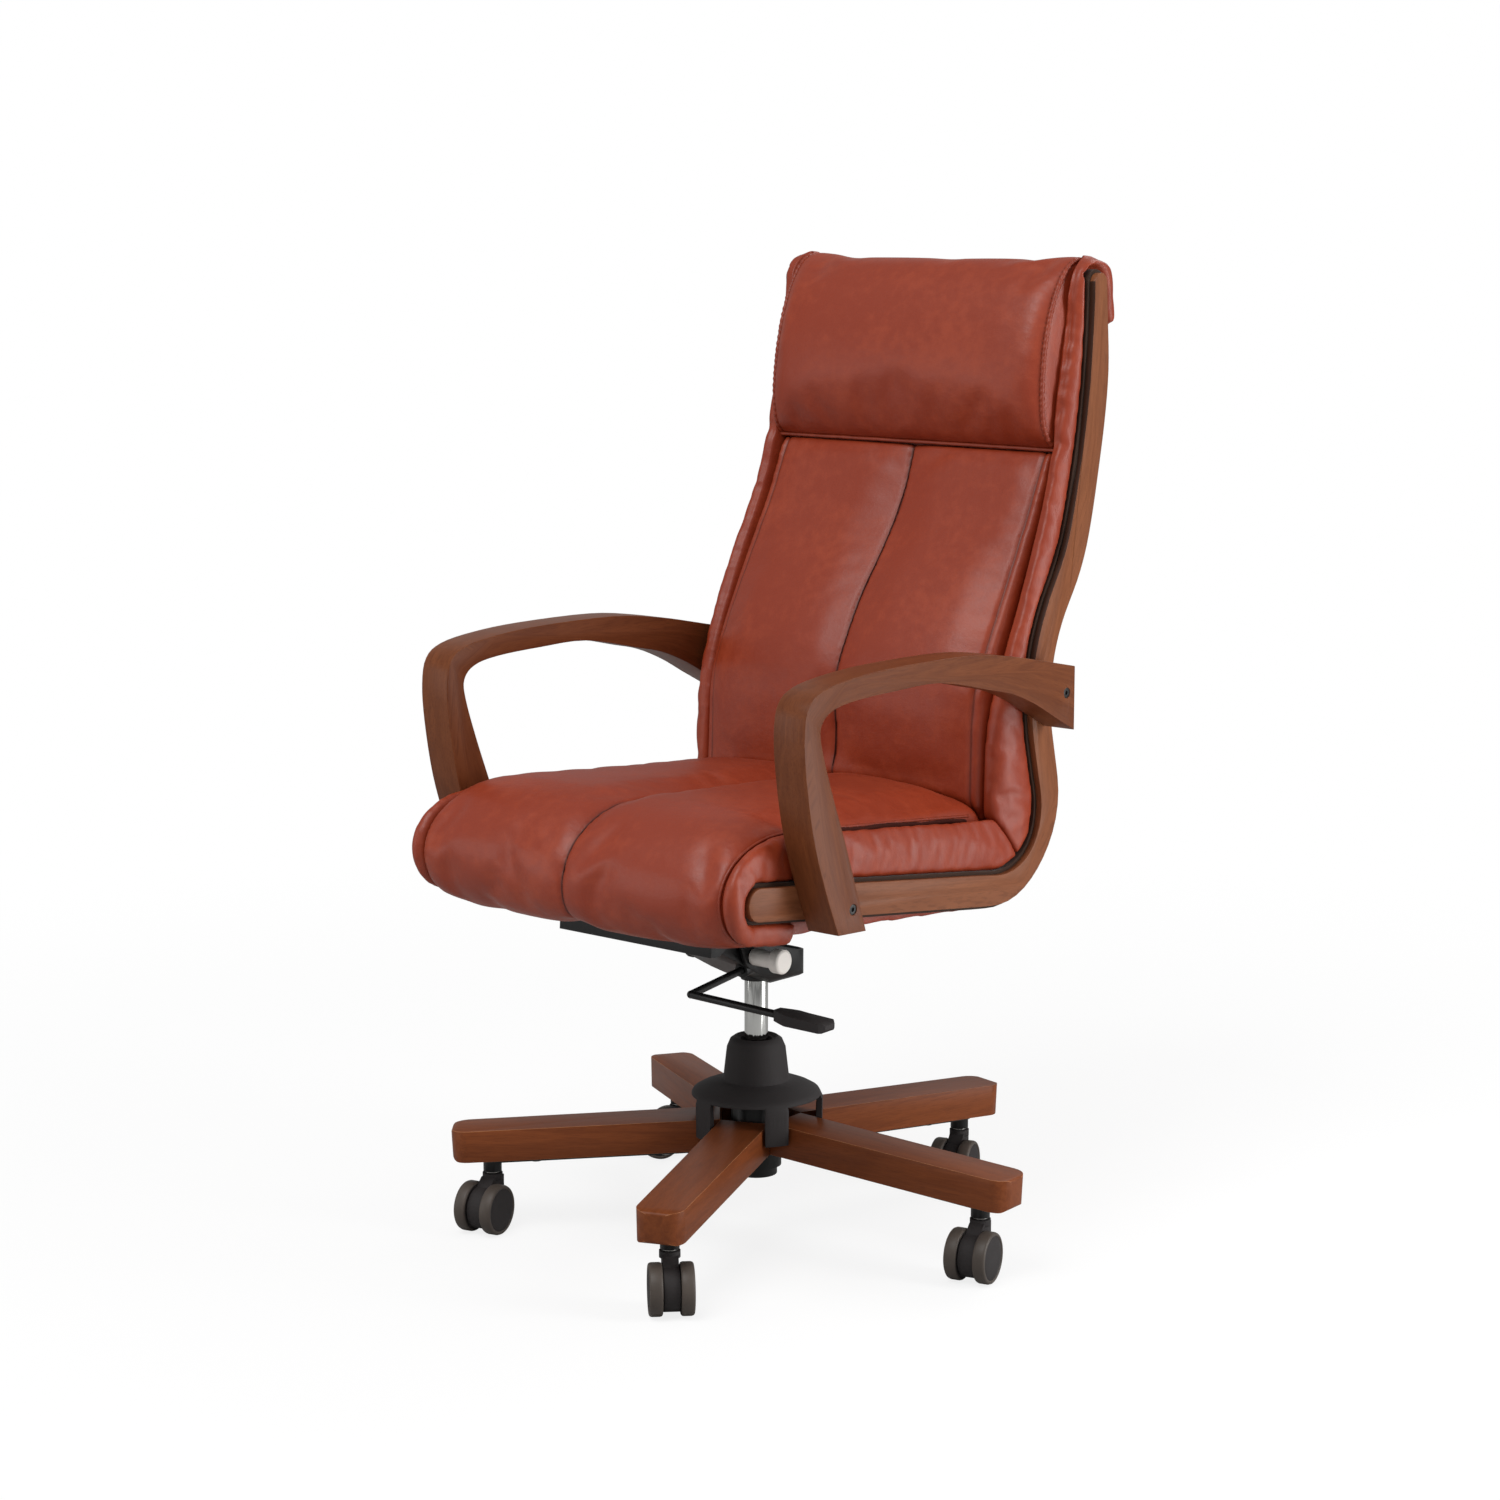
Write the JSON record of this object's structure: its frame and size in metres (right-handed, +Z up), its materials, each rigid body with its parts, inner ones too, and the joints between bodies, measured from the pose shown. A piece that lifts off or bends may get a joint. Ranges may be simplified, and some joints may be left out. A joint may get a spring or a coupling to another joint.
{
  "type": "executive office chair",
  "caption": "High-back leather office chair with bentwood side strips, wooden armrests, a tilt mechanism on a gas column and a wooden star base on casters",
  "frame": {"origin": "on the floor under the casters, on the axis of the gas column", "axes": "+Z up, -Y the way the seat faces, +X to the left of the person who sits on it"},
  "size_m": [0.6872, 0.7196, 1.1495],
  "materials": {
    "leg_wood": "satin",
    "arm_wood": "satin",
    "inner_frame": "matte",
    "leather": "satin",
    "dark_lining": "matte",
    "black_steel": "satin",
    "bright_steel": "satin",
    "chrome": "polished",
    "black_plastic": "matte",
    "red_plastic": "satin",
    "pale_plastic": "gloss",
    "wheel_plastic": "satin"
  },
  "bodies": {
    "base": {"base_frame": "black_steel", "base_leg_1": "leg_wood", "base_leg_2": "leg_wood", "base_leg_3": "leg_wood", "base_leg_4": "leg_wood", "base_leg_5": "leg_wood", "leg_screws": "bright_steel", "hub_cover": "black_plastic", "column_tube": "black_steel", "column_guide": "black_plastic", "column_clip": "bright_steel", "caster_stems": "bright_steel"},
    "spindle": {"piston_rod": "bright_steel", "thrust_bearing": "bright_steel"},
    "carriage": {"gas_cylinder": "chrome", "tilt_housing": "black_steel", "tilt_shaft": "bright_steel", "tilt_springs": "bright_steel"},
    "button": {"valve_button": "red_plastic"},
    "knob": {"tension_knob": "pale_plastic"},
    "lever": {"gas_lever": "black_steel", "lever_paddle": "black_plastic"},
    "seat": {"seat_bracket": "black_steel", "bracket_bolts": "bright_steel", "frame_shell": "inner_frame", "seat_cushion": "leather", "back_cushion": "leather", "headrest": "leather", "seat_side_left": "leather", "seat_side_right": "leather", "back_side_left": "leather", "back_side_right": "leather", "lining_left": "dark_lining", "lining_right": "dark_lining", "side_strip_left": "arm_wood", "side_strip_right": "arm_wood", "arm_left": "arm_wood", "arm_right": "arm_wood", "arm_bolts": "black_steel"},
    "caster_1": {"caster_1_body": "black_plastic", "caster_1_axle": "bright_steel"},
    "caster_1_wheel_a": {"caster_1_wheel_a": "wheel_plastic"},
    "caster_1_wheel_b": {"caster_1_wheel_b": "wheel_plastic"},
    "caster_2": {"caster_2_body": "black_plastic", "caster_2_axle": "bright_steel"},
    "caster_2_wheel_a": {"caster_2_wheel_a": "wheel_plastic"},
    "caster_2_wheel_b": {"caster_2_wheel_b": "wheel_plastic"},
    "caster_3": {"caster_3_body": "black_plastic", "caster_3_axle": "bright_steel"},
    "caster_3_wheel_a": {"caster_3_wheel_a": "wheel_plastic"},
    "caster_3_wheel_b": {"caster_3_wheel_b": "wheel_plastic"},
    "caster_4": {"caster_4_body": "black_plastic", "caster_4_axle": "bright_steel"},
    "caster_4_wheel_a": {"caster_4_wheel_a": "wheel_plastic"},
    "caster_4_wheel_b": {"caster_4_wheel_b": "wheel_plastic"},
    "caster_5": {"caster_5_body": "black_plastic", "caster_5_axle": "bright_steel"},
    "caster_5_wheel_a": {"caster_5_wheel_a": "wheel_plastic"},
    "caster_5_wheel_b": {"caster_5_wheel_b": "wheel_plastic"}
  },
  "joints": [
    {"name": "seat_swivel", "type": "hinge", "parent": "base", "child": "spindle", "pos_m": [0, 0, 0.075], "axis": [0, 0, 1], "continuous": true},
    {"name": "seat_height", "type": "slide", "parent": "spindle", "child": "carriage", "axis": [0, 0, 1], "range_m": [-0.06, 0.04]},
    {"name": "seat_tilt", "type": "hinge", "parent": "carriage", "child": "seat", "pos_m": [0, -0.06, 0.35], "axis": [-1, 0, 0], "range_deg": [0, 12], "stiffness_Nm_per_rad": 220, "springref_deg": -18.33},
    {"name": "lever_lift", "type": "hinge", "parent": "carriage", "child": "lever", "pos_m": [0.026, 0.01, 0.339], "axis": [0.087, -0.9913, -0.0986], "range_deg": [0, 10], "stiffness_Nm_per_rad": 1.5, "springref_deg": -4.58},
    {"name": "valve_press", "type": "slide", "parent": "carriage", "child": "button", "axis": [0, 0, 1], "range_m": [-0.0055, 0], "stiffness_N_per_m": 300},
    {"name": "tension_turn", "type": "hinge", "parent": "carriage", "child": "knob", "pos_m": [0.06, -0.06, 0.35], "axis": [1, 0, 0], "range_deg": [-720, 720]},
    {"name": "caster_1_swivel", "type": "hinge", "parent": "base", "child": "caster_1", "pos_m": [-0.23701, -0.20749, 0.06], "axis": [0, 0, 1], "continuous": true},
    {"name": "caster_1_roll_a", "type": "hinge", "parent": "caster_1", "child": "caster_1_wheel_a", "pos_m": [-0.23234, -0.22693, 0.03], "axis": [0.9724, 0.2334, 0], "continuous": true},
    {"name": "caster_1_roll_b", "type": "hinge", "parent": "caster_1", "child": "caster_1_wheel_b", "pos_m": [-0.23234, -0.22693, 0.03], "axis": [0.9724, 0.2334, 0], "continuous": true},
    {"name": "caster_2_swivel", "type": "hinge", "parent": "base", "child": "caster_2", "pos_m": [0.12409, -0.28953, 0.06], "axis": [0, 0, 1], "continuous": true},
    {"name": "caster_2_roll_a", "type": "hinge", "parent": "caster_2", "child": "caster_2_wheel_a", "pos_m": [0.13855, -0.30334, 0.03], "axis": [0.6909, 0.723, 0], "continuous": true},
    {"name": "caster_2_roll_b", "type": "hinge", "parent": "caster_2", "child": "caster_2_wheel_b", "pos_m": [0.13855, -0.30334, 0.03], "axis": [0.6909, 0.723, 0], "continuous": true},
    {"name": "caster_3_swivel", "type": "hinge", "parent": "base", "child": "caster_3", "pos_m": [0.3137, 0.02855, 0.06], "axis": [0, 0, 1], "continuous": true},
    {"name": "caster_3_roll_a", "type": "hinge", "parent": "caster_3", "child": "caster_3_wheel_a", "pos_m": [0.31871, 0.00919, 0.03], "axis": [0.9681, 0.2504, 0], "continuous": true},
    {"name": "caster_3_roll_b", "type": "hinge", "parent": "caster_3", "child": "caster_3_wheel_b", "pos_m": [0.31871, 0.00919, 0.03], "axis": [0.9681, 0.2504, 0], "continuous": true},
    {"name": "caster_4_swivel", "type": "hinge", "parent": "base", "child": "caster_4", "pos_m": [0.06979, 0.30717, 0.06], "axis": [0, 0, 1], "continuous": true},
    {"name": "caster_4_roll_a", "type": "hinge", "parent": "caster_4", "child": "caster_4_wheel_a", "pos_m": [0.07663, 0.28838, 0.03], "axis": [0.9397, 0.342, 0], "continuous": true},
    {"name": "caster_4_roll_b", "type": "hinge", "parent": "caster_4", "child": "caster_4_wheel_b", "pos_m": [0.07663, 0.28838, 0.03], "axis": [0.9397, 0.342, 0], "continuous": true},
    {"name": "caster_5_swivel", "type": "hinge", "parent": "base", "child": "caster_5", "pos_m": [-0.27057, 0.16129, 0.06], "axis": [0, 0, 1], "continuous": true},
    {"name": "caster_5_roll_a", "type": "hinge", "parent": "caster_5", "child": "caster_5_wheel_a", "pos_m": [-0.28937, 0.15445, 0.03], "axis": [0.342, -0.9397, 0], "continuous": true},
    {"name": "caster_5_roll_b", "type": "hinge", "parent": "caster_5", "child": "caster_5_wheel_b", "pos_m": [-0.28937, 0.15445, 0.03], "axis": [0.342, -0.9397, 0], "continuous": true}
  ],
  "couplings": [
    {"joint": "valve_press", "follows": "lever_lift", "m_per_rad": -0.031}
  ]
}
